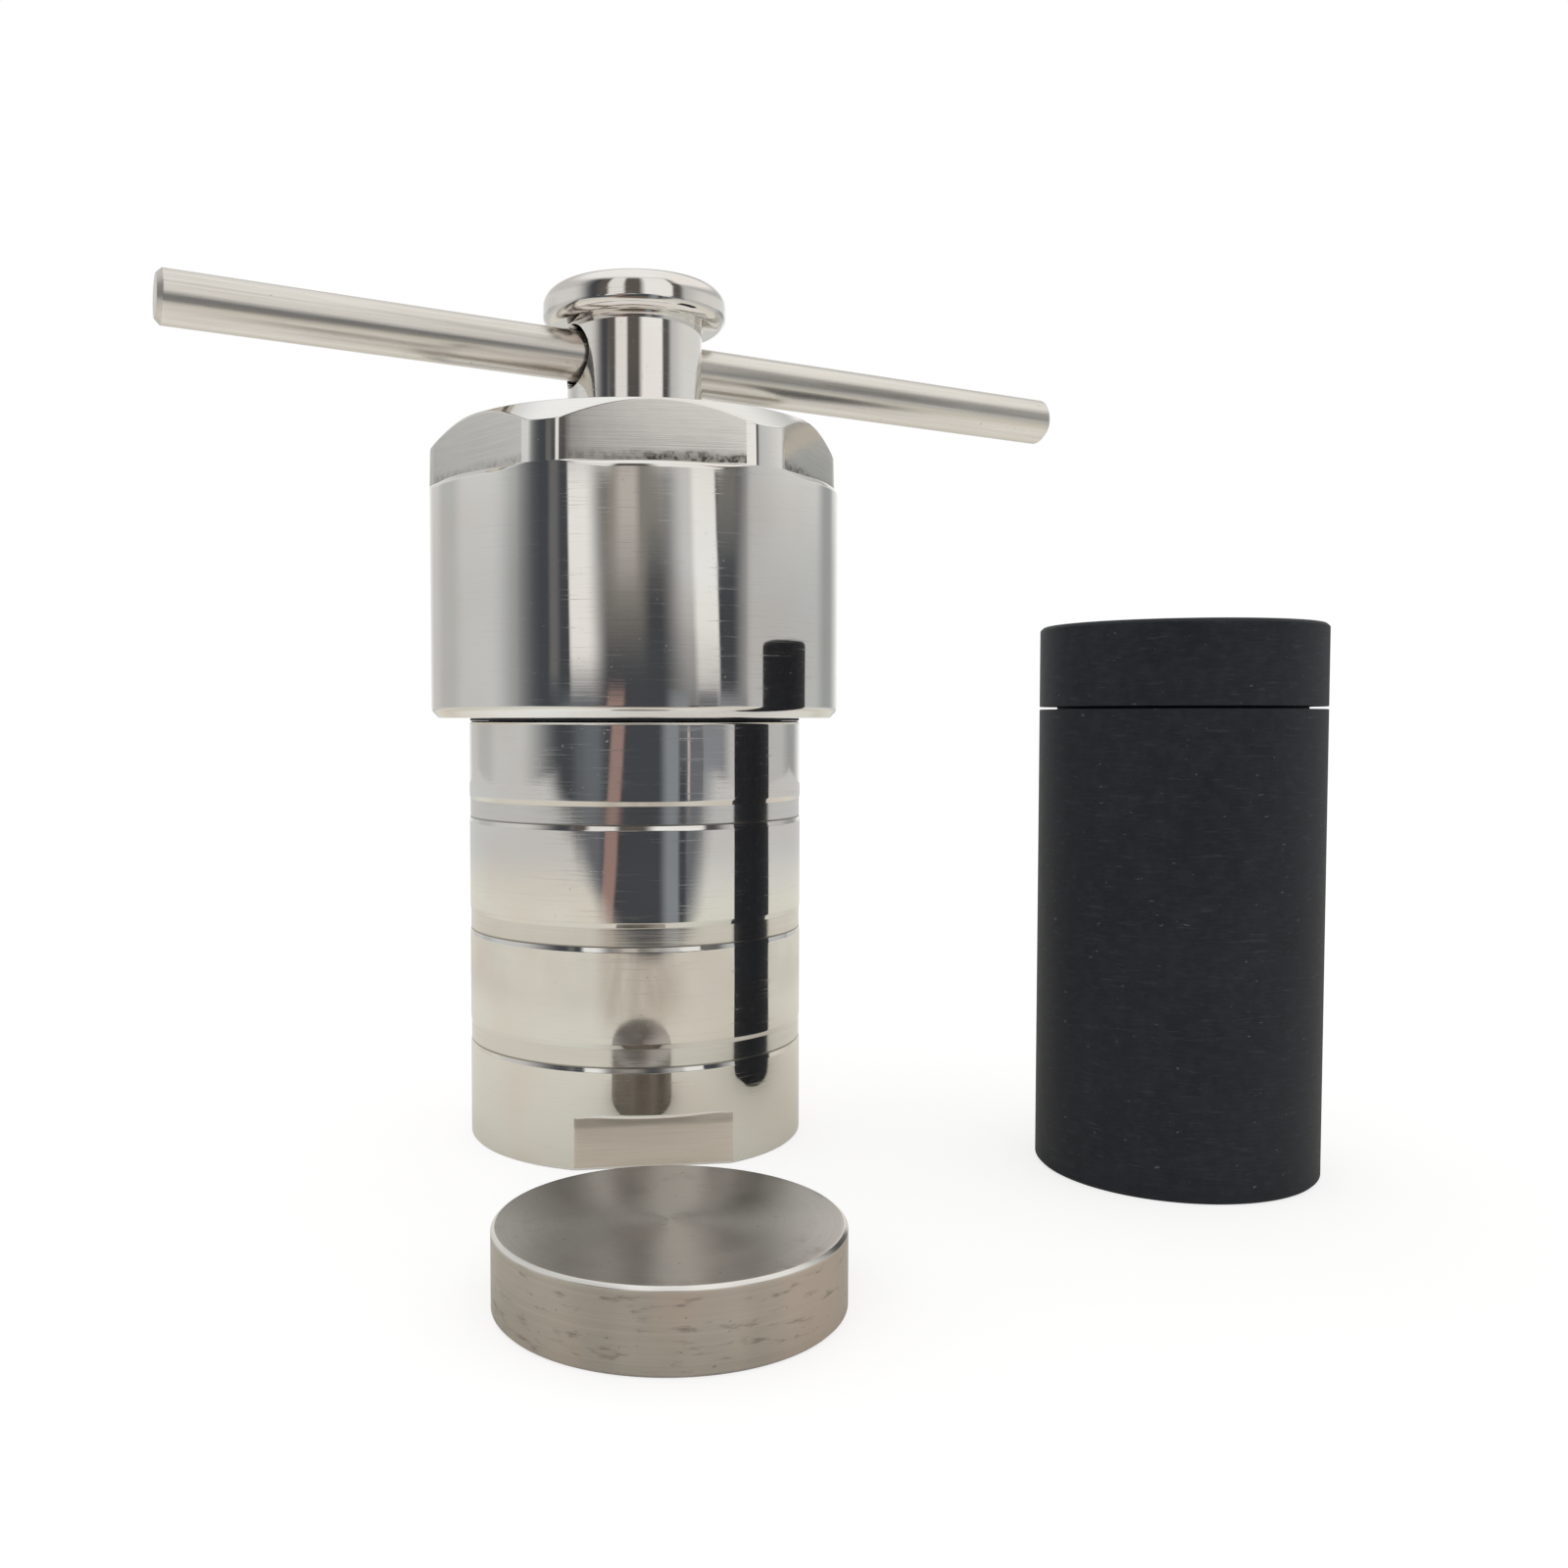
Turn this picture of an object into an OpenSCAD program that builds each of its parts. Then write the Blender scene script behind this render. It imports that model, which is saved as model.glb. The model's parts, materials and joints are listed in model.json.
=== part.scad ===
// Screw-cap synthesis vessel: a thick steel shell with a screw cap, a pressure screw turned by a loose
// tommy bar, a steel pressure disc, and a polymer liner cup with a plug lid.
// The origin is on the table, on the shell's axis. +Z is up, +X is to the liner's side.
// The vessel stands closed and empty; the disc and the liner stand beside it.

/* [Shell] */
// Outer diameter of the shell
shell_d = 68; // [66:0.5:72]
// Height of the shoulder that the cap closes on
shoulder_z = 84.3; // [80:0.1:88]
// Diameter of the straight bore
bore_d = 52.8; // [52.6:0.1:54]
// Thickness of the bottom wall
floor_t = 7; // [5:0.5:9]
// Depth of each shallow band round the outside
band_depth = 0.15; // [0.1:0.05:1]
// Height of each band's flat floor
band_h = 3.6; // [2:0.2:6]
// Distance from one band to the next
band_pitch = 22.6; // [16:0.2:24]
// Distance across the two wrench flats at the foot
foot_af = 61; // [59:0.5:64]
// Height of the foot's wrench flats
foot_flat_h = 10; // [6:0.5:12]

/* [Cap] */
// Outer diameter of the cap
cap_d = 83.2; // [80:0.2:86]
// Height of the cap's side and top together
cap_h = 57.8; // [56:0.2:62]
// Distance across the six wrench flats
cap_af = 75; // [72:0.5:78]
// Height of the wrench flats below the cap's top face
cap_flat_h = 11.8; // [8:0.2:14]
// Width and height of the chamfer round the top
cap_chamfer = 4.4; // [2:0.2:5]
// Bearing that the front wrench flats face, counted from the front towards +X
flat_bearing = 8.9; // [0:0.1:30]

/* [Threads] */
// Crest diameter of the shell's thread
thread_d = 62; // [61:0.5:63]
// Pitch of both threads
thread_pitch = 3; // [2:0.5:3]
// Crest diameter of the pressure screw
screw_d = 24; // [22:0.5:25]

/* [Pressure screw] */
// Diameter of the polished neck
neck_d = 27.6; // [26:0.2:28]
// Height of the head's underside above the cap's top face
head_lift = 21.3; // [20.5:0.1:24]
// Diameter of the mushroom head
head_d = 37.4; // [37:0.2:40]
// Thickness of the head at its rim
head_t = 8; // [8:0.5:10]
// Diameter of the cross hole in the neck
cross_hole_d = 12; // [11.6:0.1:12.4]

/* [Tommy bar] */
// Diameter of the bar
bar_d = 10; // [9:0.5:10]
// Length of the bar
bar_len = 195.6; // [150:0.2:220]
// How far the bar's middle lies off the vessel's axis
bar_shift = 5.3; // [-20:0.1:20]
// Direction of the bar in plan, from +X towards +Y
bar_azimuth = 25.3; // [0:0.1:60]
// How much the bar leans in its loose hole
bar_lean = 1.63; // [0:0.01:1.7]

/* [Pressure disc] */
// Diameter of the disc, and of the liner
disc_d = 51.8; // [50:0.1:52]
// Thickness of the disc
disc_t = 12; // [6:0.5:12]

/* [Liner] */
// Height of the liner with its lid on
liner_h = 102.1; // [100:0.1:103]
// Height of the cup alone
cup_h = 86.5; // [84:0.1:88]
// Diameter of the cup's bore
cup_bore_d = 43; // [40:0.5:44]
// Thickness of the cup's floor
cup_floor_t = 8; // [6:0.5:10]
// Gap that the lid leaves all round
lid_gap = 0.5; // [0.3:0.1:0.8]

/* [Hidden] */
$fn = 96;
eps = 0.01;

steel = [0.78, 0.77, 0.75];
polished_steel = [0.86, 0.85, 0.84];
black_polymer = [0.09, 0.09, 0.10];

// Where the loose pieces stand on the table
disc_xy = [8.9, -92.9];
liner_xy = [104.2, -26.1];

// Clearances: between faces that rest on each other, and between parts that turn or lift past each other
rest_gap = 0.05;
loose_gap = 0.3;
thread_gap = 0.35;

// Shell
shell_r = shell_d / 2;
bore_r = bore_d / 2;
thread_r = thread_d / 2;
thread_depth = 1.2;
thread_root_r = thread_r - thread_depth;
thread_turns = 8;
thread_relief_h = 2.5;
thread_z = shoulder_z + thread_relief_h;
thread_top_z = thread_z + thread_turns * thread_pitch;
mouth_z = shoulder_z + 29.7;
first_band_z = 21.5;
band_count = 3;
band_slope_h = 0.9;
foot_chamfer = 0.4;
floor_chamfer = 1;
edge = 0.5;

// Slip washer
washer_t = 0.5;
washer_z = shoulder_z + rest_gap;
washer_out_r = shell_r - 0.2;
washer_in_r = thread_r + 0.25;

// Cap
cap_r = cap_d / 2;
cap_z = washer_z + washer_t + rest_gap;
cap_top_z = cap_z + cap_h;
cap_foot_chamfer = 1.5;
cap_thread_r = thread_r + thread_gap;
cap_relief_r = cap_thread_r + thread_depth;
cap_wall_t = 13.2;
ceiling_z = cap_top_z - cap_wall_t;
chamber_r = 29;
chamber_z = mouth_z + 2.5;
chamber_foot_z = mouth_z + 1;
flat_cut = 30;

// Pressure screw
screw_r = screw_d / 2;
screw_hole_r = screw_r + thread_gap;
neck_r = neck_d / 2;
neck_z = cap_top_z + loose_gap;
head_r = head_d / 2;
head_z = cap_top_z + head_lift;
head_top_z = head_z + head_t;
head_under_round = 3.9;
head_top_round = 4;
head_dome_h = 0.4;
neck_fillet = 0.5;
cross_hole_r = cross_hole_d / 2;
cross_hole_z = head_z - 6.5;
cross_hole_flare = 0.45;
cross_hole_flare_depth = 3;

// Swivel pad, held by a snap ring in a groove of the screw's tip
screw_travel = 9;
pad_r = 18;
pad_t = 8;
pad_top_z = ceiling_z - 0.5 - screw_travel;
pad_bottom_z = pad_top_z - pad_t;
pad_chamfer = 1;
pad_bore_depth = 7;
pad_bore_z = pad_top_z - pad_bore_depth;
tip_r = 7;
tip_gap = 0.08;
tip_z = pad_bore_z + edge;
pad_bore_r = tip_r + tip_gap;
thread_end_z = pad_top_z + loose_gap;
ring_t = 1.2;
ring_z = pad_top_z - 4.6;
ring_in_r = 6.3;
ring_out_r = 7.9;
ring_opening = 30;
tip_groove_r = 6;
pad_groove_r = 8;
groove_gap = 0.1;
groove_z = ring_z - groove_gap;
groove_top_z = ring_z + ring_t + groove_gap;

// Tommy bar
bar_r = bar_d / 2;
bar_chamfer = 1;
bar_rise = 0.75;
bar_z = cross_hole_z - cross_hole_r + bar_r + bar_rise;

// Pressure disc and liner
disc_r = disc_d / 2;
liner_r = disc_r;
cup_bore_r = cup_bore_d / 2;
rabbet_r = 22.9;
rabbet_depth = 5;
plug_len = 8;
liner_chamfer = 0.6;
cup_floor_chamfer = 2;
plug_chamfer = 1;

// One thread ridge as shares of the pitch: its flank ends, its crest ends, and the other flank ends
flank_share = 0.35;
crest_share = 0.15;

// Points of a row of thread ridges, up the profile from z: out to the crest and back to the root
function ridges(root_r, crest_r, z, turns) =
    [for (i = [0 : turns - 1])
        each [[root_r, z + i * thread_pitch],
              [crest_r, z + (i + flank_share) * thread_pitch],
              [crest_r, z + (i + flank_share + crest_share) * thread_pitch],
              [root_r, z + (i + 2 * flank_share + crest_share) * thread_pitch]]];

// The same points in the opposite order, for a profile that runs down
function reversed(points) = [for (i = [len(points) - 1 : -1 : 0]) points[i]];

// Points of an arc about (x, z), from one angle to another
function arc(x, z, radius, from, to, steps = 8) =
    [for (i = [0 : steps])
        let (a = from + (to - from) * i / steps)
        [x + radius * cos(a), z + radius * sin(a)]];

// Points of one shallow band, from its lower edge to its upper edge
function band(z) =
    [[shell_r, z - band_h / 2 - band_slope_h],
     [shell_r - band_depth, z - band_h / 2],
     [shell_r - band_depth, z + band_h / 2],
     [shell_r, z + band_h / 2 + band_slope_h]];

module turned(points) {
    rotate_extrude()
        polygon(points);
}

// A block that cuts one wrench flat: its face is at distance from the axis, towards the bearing
module flat_cutter(bearing, distance, z, height) {
    rotate([0, 0, bearing - 90])
        translate([distance, -flat_cut, z])
            cube([flat_cut, 2 * flat_cut, height]);
}

module shell() {
    outside = [
        [0, 0],
        [shell_r - foot_chamfer, 0],
        [shell_r, foot_chamfer],
        for (i = [0 : band_count - 1]) each band(first_band_z + i * band_pitch),
        [shell_r, shoulder_z - edge],
        [shell_r - edge, shoulder_z],
        [thread_root_r, shoulder_z],
        each ridges(thread_root_r, thread_r, thread_z, thread_turns),
        [thread_root_r, mouth_z - edge],
        [thread_root_r - edge, mouth_z]
    ];
    inside = [
        [bore_r + edge, mouth_z],
        [bore_r, mouth_z - edge],
        [bore_r, floor_t + floor_chamfer],
        [bore_r - floor_chamfer, floor_t],
        [0, floor_t]
    ];
    color(polished_steel)
        difference() {
            turned(concat(outside, inside));
            for (side = [0, 180])
                flat_cutter(flat_bearing + side, foot_af / 2, -eps, foot_flat_h + eps);
        }
}

module slip_washer() {
    color(black_polymer)
        translate([0, 0, washer_z])
            difference() {
                cylinder(h = washer_t, r = washer_out_r);
                translate([0, 0, -eps])
                    cylinder(h = washer_t + 2 * eps, r = washer_in_r);
            }
}

module cap() {
    outside = [
        [cap_thread_r, cap_z],
        [cap_r - cap_foot_chamfer, cap_z],
        [cap_r, cap_z + cap_foot_chamfer],
        [cap_r, cap_top_z - cap_chamfer],
        [cap_r - cap_chamfer, cap_top_z],
        [screw_hole_r + thread_depth, cap_top_z],
        [screw_hole_r, cap_top_z - thread_depth]
    ];
    hole_turns = floor((cap_wall_t - 2 * thread_depth) / thread_pitch);
    hole_thread = reversed(ridges(screw_hole_r, screw_hole_r + thread_depth, ceiling_z + edge, hole_turns));
    chamber = [
        [screw_hole_r, ceiling_z],
        [chamber_r, ceiling_z],
        [chamber_r, chamber_z],
        [cap_relief_r, chamber_foot_z],
        [cap_relief_r, thread_top_z + 2 * edge],
        [cap_thread_r, thread_top_z + edge]
    ];
    cap_thread = reversed(ridges(cap_thread_r, cap_relief_r, thread_z, thread_turns));
    color(polished_steel)
        difference() {
            turned(concat(outside, hole_thread, chamber, cap_thread));
            for (i = [0 : 5])
                flat_cutter(flat_bearing + 60 * i, cap_af / 2, cap_top_z - cap_flat_h, flat_cut);
        }
}

module pressure_screw() {
    screw_turns = floor((neck_z - thread_end_z - 2 * edge) / thread_pitch);
    profile = [
        [0, tip_z],
        [tip_r - edge, tip_z],
        [tip_r, tip_z + edge],
        [tip_r, groove_z],
        [tip_groove_r, groove_z],
        [tip_groove_r, groove_top_z],
        [tip_r, groove_top_z],
        [tip_r, thread_end_z],
        [screw_r - thread_depth, thread_end_z],
        each ridges(screw_r - thread_depth, screw_r, thread_end_z + edge, screw_turns),
        [screw_r - thread_depth, neck_z],
        [neck_r - edge, neck_z],
        [neck_r, neck_z + edge],
        each arc(neck_r + neck_fillet, head_z - neck_fillet, neck_fillet, 180, 90, 4),
        each arc(head_r - head_under_round, head_z + head_under_round, head_under_round, -90, 0),
        each arc(head_r - head_top_round, head_top_z - head_top_round, head_top_round, 0, 80),
        [0, head_top_z + head_dome_h]
    ];
    color(polished_steel)
        difference() {
            turned(profile);
            translate([0, 0, cross_hole_z])
                rotate([0, 0, bar_azimuth])
                    cross_hole();
        }
}

// The cross hole along X, a little wider at both mouths
module cross_hole() {
    flare_x = neck_r + edge - cross_hole_flare_depth;
    rotate([0, 90, 0])
        cylinder(h = 2 * head_d, r = cross_hole_r, center = true);
    for (side = [0, 180])
        rotate([0, 0, side])
            translate([flare_x, 0, 0])
                rotate([0, 90, 0])
                    cylinder(h = cross_hole_flare_depth, r1 = cross_hole_r,
                             r2 = cross_hole_r + cross_hole_flare);
}

module swivel_pad() {
    profile = [
        [0, pad_bottom_z],
        [pad_r - pad_chamfer, pad_bottom_z],
        [pad_r, pad_bottom_z + pad_chamfer],
        [pad_r, pad_top_z - pad_chamfer],
        [pad_r - pad_chamfer, pad_top_z],
        [pad_bore_r + edge, pad_top_z],
        [pad_bore_r, pad_top_z - edge],
        [pad_bore_r, groove_top_z],
        [pad_groove_r, groove_top_z],
        [pad_groove_r, groove_z],
        [pad_bore_r, groove_z],
        [pad_bore_r, pad_bore_z],
        [0, pad_bore_z]
    ];
    color(steel)
        turned(profile);
}

module pad_snap_ring() {
    color(steel)
        translate([0, 0, ring_z])
            rotate_extrude(angle = 360 - ring_opening)
                translate([ring_in_r, 0])
                    square([ring_out_r - ring_in_r, ring_t]);
}

module tommy_bar() {
    profile = [
        [0, 0],
        [bar_r - bar_chamfer, 0],
        [bar_r, bar_chamfer],
        [bar_r, bar_len - bar_chamfer],
        [bar_r - bar_chamfer, bar_len],
        [0, bar_len]
    ];
    color(steel)
        translate([0, 0, bar_z])
            rotate([0, 90 + bar_lean, bar_azimuth])
                translate([0, 0, bar_shift - bar_len / 2])
                    turned(profile);
}

module pressure_disc() {
    profile = [
        [0, 0],
        [disc_r - edge, 0],
        [disc_r, edge],
        [disc_r, disc_t - edge],
        [disc_r - edge, disc_t],
        [0, disc_t]
    ];
    color(steel)
        translate([disc_xy.x, disc_xy.y, 0])
            turned(profile);
}

module liner_cup() {
    profile = [
        [0, 0],
        [liner_r - liner_chamfer, 0],
        [liner_r, liner_chamfer],
        [liner_r, cup_h],
        [rabbet_r, cup_h],
        [rabbet_r, cup_h - rabbet_depth],
        [cup_bore_r, cup_h - rabbet_depth],
        [cup_bore_r, cup_floor_t + cup_floor_chamfer],
        [cup_bore_r - cup_floor_chamfer, cup_floor_t],
        [0, cup_floor_t]
    ];
    color(black_polymer)
        translate([liner_xy.x, liner_xy.y, 0])
            turned(profile);
}

module liner_lid() {
    flange_z = cup_h + lid_gap;
    step_z = cup_h - rabbet_depth + rest_gap;
    plug_z = step_z - plug_len;
    step_r = rabbet_r - loose_gap;
    plug_r = cup_bore_r - loose_gap;
    profile = [
        [0, plug_z],
        [plug_r - plug_chamfer, plug_z],
        [plug_r, plug_z + plug_chamfer],
        [plug_r, step_z],
        [step_r, step_z],
        [step_r, flange_z],
        [liner_r, flange_z],
        [liner_r, liner_h - liner_chamfer],
        [liner_r - liner_chamfer, liner_h],
        [0, liner_h]
    ];
    color(black_polymer)
        translate([liner_xy.x, liner_xy.y, 0])
            turned(profile);
}

shell();
slip_washer();
cap();
pressure_screw();
swivel_pad();
pad_snap_ring();
tommy_bar();
pressure_disc();
liner_cup();
liner_lid();
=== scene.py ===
import json
import math

import bmesh
import bpy
from mathutils import Matrix, Vector


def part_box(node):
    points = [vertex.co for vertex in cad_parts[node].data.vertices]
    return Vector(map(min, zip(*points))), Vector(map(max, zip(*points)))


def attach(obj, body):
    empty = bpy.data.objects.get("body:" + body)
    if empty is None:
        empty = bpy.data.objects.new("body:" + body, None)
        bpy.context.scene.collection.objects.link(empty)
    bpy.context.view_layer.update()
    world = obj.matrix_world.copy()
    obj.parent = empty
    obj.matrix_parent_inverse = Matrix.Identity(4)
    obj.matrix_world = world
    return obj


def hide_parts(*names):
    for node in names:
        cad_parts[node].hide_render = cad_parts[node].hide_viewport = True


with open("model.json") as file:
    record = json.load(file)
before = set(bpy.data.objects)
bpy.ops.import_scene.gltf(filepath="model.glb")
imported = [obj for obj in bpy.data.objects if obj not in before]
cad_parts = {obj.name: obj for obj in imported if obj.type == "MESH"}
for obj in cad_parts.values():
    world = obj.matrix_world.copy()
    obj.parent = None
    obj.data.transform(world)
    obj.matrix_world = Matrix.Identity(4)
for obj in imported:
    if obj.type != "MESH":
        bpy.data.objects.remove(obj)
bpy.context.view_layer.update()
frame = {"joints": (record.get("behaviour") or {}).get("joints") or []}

# ---------------------------------------------------------------- camera
# Level with the joint between shell and cap and tipped down a little. The view is shifted sideways, so
# that the vessel stands left of the picture's middle and the liner right of it.
EYE = (0.013123, -0.302109, 0.084657)
EYE_TIP = math.radians(2.5475)
LENS_MM = 33.45
VIEW_SHIFT = 0.0544
NEAREST_SEEN = 0.01


def make_camera():
    lens = bpy.data.cameras.new("studio_camera")
    lens.lens = LENS_MM
    lens.shift_x = VIEW_SHIFT
    lens.clip_start = NEAREST_SEEN
    camera = bpy.data.objects.new("studio_camera", lens)
    camera.location = EYE
    camera.rotation_euler = (math.pi / 2 - EYE_TIP, 0, 0)
    bpy.context.collection.objects.link(camera)
    bpy.context.scene.camera = camera


make_camera()

# ---------------------------------------------------------------- sizes, in millimetres
MM = 0.001

SHELL_R = 34
BORE_R = 26.4
SHELL_FLOOR = 7
SHOULDER = 84.3
MOUTH = 114
BAND_HEIGHTS = (21.5, 44.1, 66.7)
BAND_DEPTH = 0.15
BAND_FLOOR = 3.6
BAND_SLOPE = 0.9
FOOT_FLAT = 30.5
FOOT_FLAT_TOP = 10
FOOT_CHAMFER = 0.4
SHELL_CHAMFER = 0.5
BORE_CHAMFER = 1

CAP_R = 41.6
CAP_FOOT = 84.9
CAP_TOP = 142.7
CAP_CHAMFER = 4.4
CAP_FOOT_CHAMFER = 1.5
CAP_FLAT = 37.5
CAP_LEDGE = 130.9
CAP_CEILING = 129.5
CAP_RELIEF_TOP = 115
CHAMBER_R = 29
CHAMBER_FOOT = 116.5
HOLE_CHAMFER = 0.5
FLAT_BEARING = 8.9

THREAD_PITCH = 3
THREAD_DEPTH = 1.2
THREAD_FOOT = 86.8
THREAD_TURNS = 8
THREAD_ENTRY = 0.6
THREAD_SUNK = 0.02
SHELL_THREAD_R = 31
CAP_THREAD_R = 31.35
SCREW_THREAD_R = 12
HOLE_THREAD_R = 12.35
RIDGE_ROOT = 0.85 * THREAD_PITCH
RIDGE_CREST = 0.15 * THREAD_PITCH

WASHER = dict(inner=31.25, outer=33.8, foot=84.35, top=84.85)

NECK_R = 13.8
NECK_FOOT = 143
NECK_CHAMFER = 0.3
NECK_ROW = 0.5
NECK_ROWS = 41
HEAD_R = 18.7
HEAD_FOOT = 164
HEAD_TOP = 172
HEAD_DOME = 0.4
HEAD_UNDER_ROUND = 3.9
HEAD_TOP_ROUND = 4
CROSS_HOLE_R = 6
CROSS_HOLE_Z = 157.5
CROSS_HOLE_FLARE = 0.45
CROSS_HOLE_FLARE_LENGTH = 3
SCREW_END = 120.3
TIP_R = 7
TIP_CHAMFER = 0.5
TIP_END = 113.5
TIP_GROOVE_R = 6
GROOVE = (115.3, 116.7)

PAD_R = 18
PAD_CHAMFER = 1
PAD_BORE_CHAMFER = 0.5
PAD_HEIGHTS = (112, 120)
PAD_BORE_R = 7.08
PAD_BORE_FLOOR = 113
PAD_GROOVE_R = 8
RING = dict(inner=6.3, outer=7.9, foot=115.4, top=116.6, opening=30)

BAR_R = 5
BAR_CHAMFER = 1
BAR_LENGTH = 195.6
BAR_SHIFT = 5.3
BAR_Z = 157.25

DISC_R = 25.9
DISC_T = 12
DISC_CHAMFER = 0.5

LINER_R = 25.9
LINER_CHAMFER = 0.6
CUP_H = 86.5
CUP_BORE_R = 21.5
CUP_FLOOR = 8
CUP_FLOOR_CHAMFER = 2
RABBET_R = 22.9
RABBET_FLOOR = 81.5
LID_FOOT = 87
LID_TOP = 102.1
LID_STEP_R = 22.6
LID_STEP = 81.55
PLUG_R = 21.2
PLUG_CHAMFER = 1
PLUG_FOOT = 73.55


def middle_of(node):
    """Where a round solid's axis stands on the table, in metres."""
    lo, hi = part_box(node)
    return Vector(((lo.x + hi.x) / 2, (lo.y + hi.y) / 2, 0))


DISC_PLACE = middle_of("pressure_disc")
LINER_PLACE = middle_of("liner_cup")
BAR_AXIS = Vector(next(j["axis"] for j in frame["joints"] if j["name"] == "bar_slide")).normalized()
BAR_AZIMUTH = math.degrees(math.atan2(BAR_AXIS.y, BAR_AXIS.x))

# ---------------------------------------------------------------- writing node trees as maths


class Value:
    """One number, colour or vector in a node tree. Operators on numbers add Math nodes."""

    def __init__(self, tree, socket):
        self.tree = tree
        self.socket = socket

    def of(self, output):
        """Another output of the same node."""
        return Value(self.tree, self.socket.node.outputs[output])

    def __add__(self, other):
        return self.tree.maths("ADD", self, other)

    def __sub__(self, other):
        return self.tree.maths("SUBTRACT", self, other)

    def __rsub__(self, other):
        return self.tree.maths("SUBTRACT", other, self)

    def __mul__(self, other):
        return self.tree.maths("MULTIPLY", self, other)

    def __truediv__(self, other):
        return self.tree.maths("DIVIDE", self, other)

    def __pow__(self, other):
        return self.tree.maths("POWER", self, other)

    def __mod__(self, other):
        return self.tree.maths("FLOORED_MODULO", self, other)

    __radd__ = __add__
    __rmul__ = __mul__


class Tree:
    """A node tree of any kind."""

    def __init__(self, nodes_of):
        self.nodes_of = nodes_of
        self.nodes_of.nodes.clear()

    def node(self, kind, settings=None, inputs=None, output=0):
        """Adds a node, sets it up, links or fills its inputs, and gives one of its outputs."""
        made = self.nodes_of.nodes.new(kind)
        for name, setting in (settings or {}).items():
            setattr(made, name, setting)
        for name, value in (inputs or {}).items():
            if isinstance(value, Value):
                self.nodes_of.links.new(value.socket, made.inputs[name])
            else:
                made.inputs[name].default_value = value
        return Value(self, made.outputs[output]) if made.outputs else None

    def maths(self, operation, first, second=0.0):
        return self.node("ShaderNodeMath", {"operation": operation}, {0: first, 1: second})


class Finish(Tree):
    """The node tree of one material, or of the studio round the object."""

    def __init__(self, name, world=None):
        if world is None:
            self.material = bpy.data.materials.new(name)
            self.material.use_nodes = True
        super().__init__((world or self.material).node_tree)

    def step(self, value, start, end, low=0.0, high=1.0):
        """Rises smoothly from low to high while value goes from start to end."""
        inputs = {"Value": value, "From Min": start, "From Max": end, "To Min": low, "To Max": high}
        return self.node("ShaderNodeMapRange", {"interpolation_type": "SMOOTHSTEP"}, inputs)

    def hump(self, value, start, full, fading, gone):
        """1 between full and fading, and 0 outside start and gone."""
        return self.step(value, start, full) * self.step(value, fading, gone, 1.0, 0.0)

    def blend(self, factor, first, second):
        """A colour between two colours."""
        inputs = {0: factor, 6: first, 7: second}
        return self.node("ShaderNodeMix", {"data_type": "RGBA"}, inputs, output=2)

    def mixed(self, factor, first, second):
        """A shader between two shaders."""
        return self.node("ShaderNodeMixShader", {}, {0: factor, 1: first, 2: second})

    def lit(self, colour, glow_colour, glow):
        """A shader that is matt and gives off some light of its own."""
        matt = self.node("ShaderNodeBsdfDiffuse", {}, {"Color": colour})
        light = self.node("ShaderNodeEmission", {}, {"Color": glow_colour, "Strength": glow})
        return self.node("ShaderNodeAddShader", {}, {0: matt, 1: light})

    def place(self, centre=(0, 0, 0), turn=(0, 0, 0)):
        """Object coordinates counted from a piece's own middle, along its own axes."""
        here = self.node("ShaderNodeTexCoord", output="Object")
        inputs = {"Vector": here, "Location": centre, "Rotation": turn}
        return self.node("ShaderNodeMapping", {"vector_type": "TEXTURE"}, inputs)

    def parts(self, vector):
        split = self.node("ShaderNodeSeparateXYZ", {}, {0: vector})
        return split, split.of("Y"), split.of("Z")

    def from_axis(self, x, y):
        """Distance from the vertical axis."""
        return (x * x + y * y) ** 0.5

    def stretched(self, place, scale):
        return self.node("ShaderNodeMapping", {}, {"Vector": place, "Scale": scale})

    def noise(self, place, scale, detail=2.0, roughness=0.5):
        inputs = {"Vector": place, "Scale": scale, "Detail": detail, "Roughness": roughness}
        return self.node("ShaderNodeTexNoise", {}, inputs)

    def bump(self, height, depth, under=None):
        """Relief of the given depth in metres, laid over the relief under it."""
        inputs = {"Height": height, "Distance": depth}
        if under:
            inputs["Normal"] = under
        return self.node("ShaderNodeBump", {}, inputs)

    def shine(self, **inputs):
        """Ends the material in one Principled shader."""
        named = {name.replace("_", " "): value for name, value in inputs.items()}
        shader = self.node("ShaderNodeBsdfPrincipled", {}, named)
        self.node("ShaderNodeOutputMaterial", {}, {"Surface": shader})
        return self.material


# ---------------------------------------------------------------- finishes
# Each pair of tones is the two sides of one surface's own mottle. The single colours lie over it.
POLISHED_TONES = (0.845, 0.84, 0.82, 1), (0.825, 0.785, 0.75, 1)
POLISHED_HAIR = (0.62, 0.605, 0.58, 1)
BAND_TONES = (0.72, 0.70, 0.67, 1), (0.83, 0.81, 0.785, 1)
BAND_EDGE_LINE = (0.20, 0.185, 0.165, 1)
MILLED_TONES = (0.62, 0.60, 0.575, 1), (0.79, 0.77, 0.74, 1)
MILLED_LEDGE_DARK = (0.12, 0.105, 0.09, 1)
FOOT_FLAT_TONES = (0.72, 0.64, 0.58, 1), (0.85, 0.80, 0.745, 1)
FOOT_FLAT_SHADE = (0.30, 0.27, 0.23, 1)
TURNED_TONES = (0.54, 0.515, 0.475, 1), (0.78, 0.755, 0.71, 1)
DISC_TONES = (0.36, 0.33, 0.30, 1), (0.56, 0.515, 0.47, 1)
DISC_FACE = (0.34, 0.35, 0.32, 1)
DISC_WARM = (0.62, 0.51, 0.45, 1)
DISC_REAR_SHADE = (0.17, 0.16, 0.145, 1)
DISC_SMUDGE = (0.17, 0.14, 0.115, 1)
DISC_EDGE_HIGHLIGHT = (0.88, 0.86, 0.82, 1)
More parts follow.
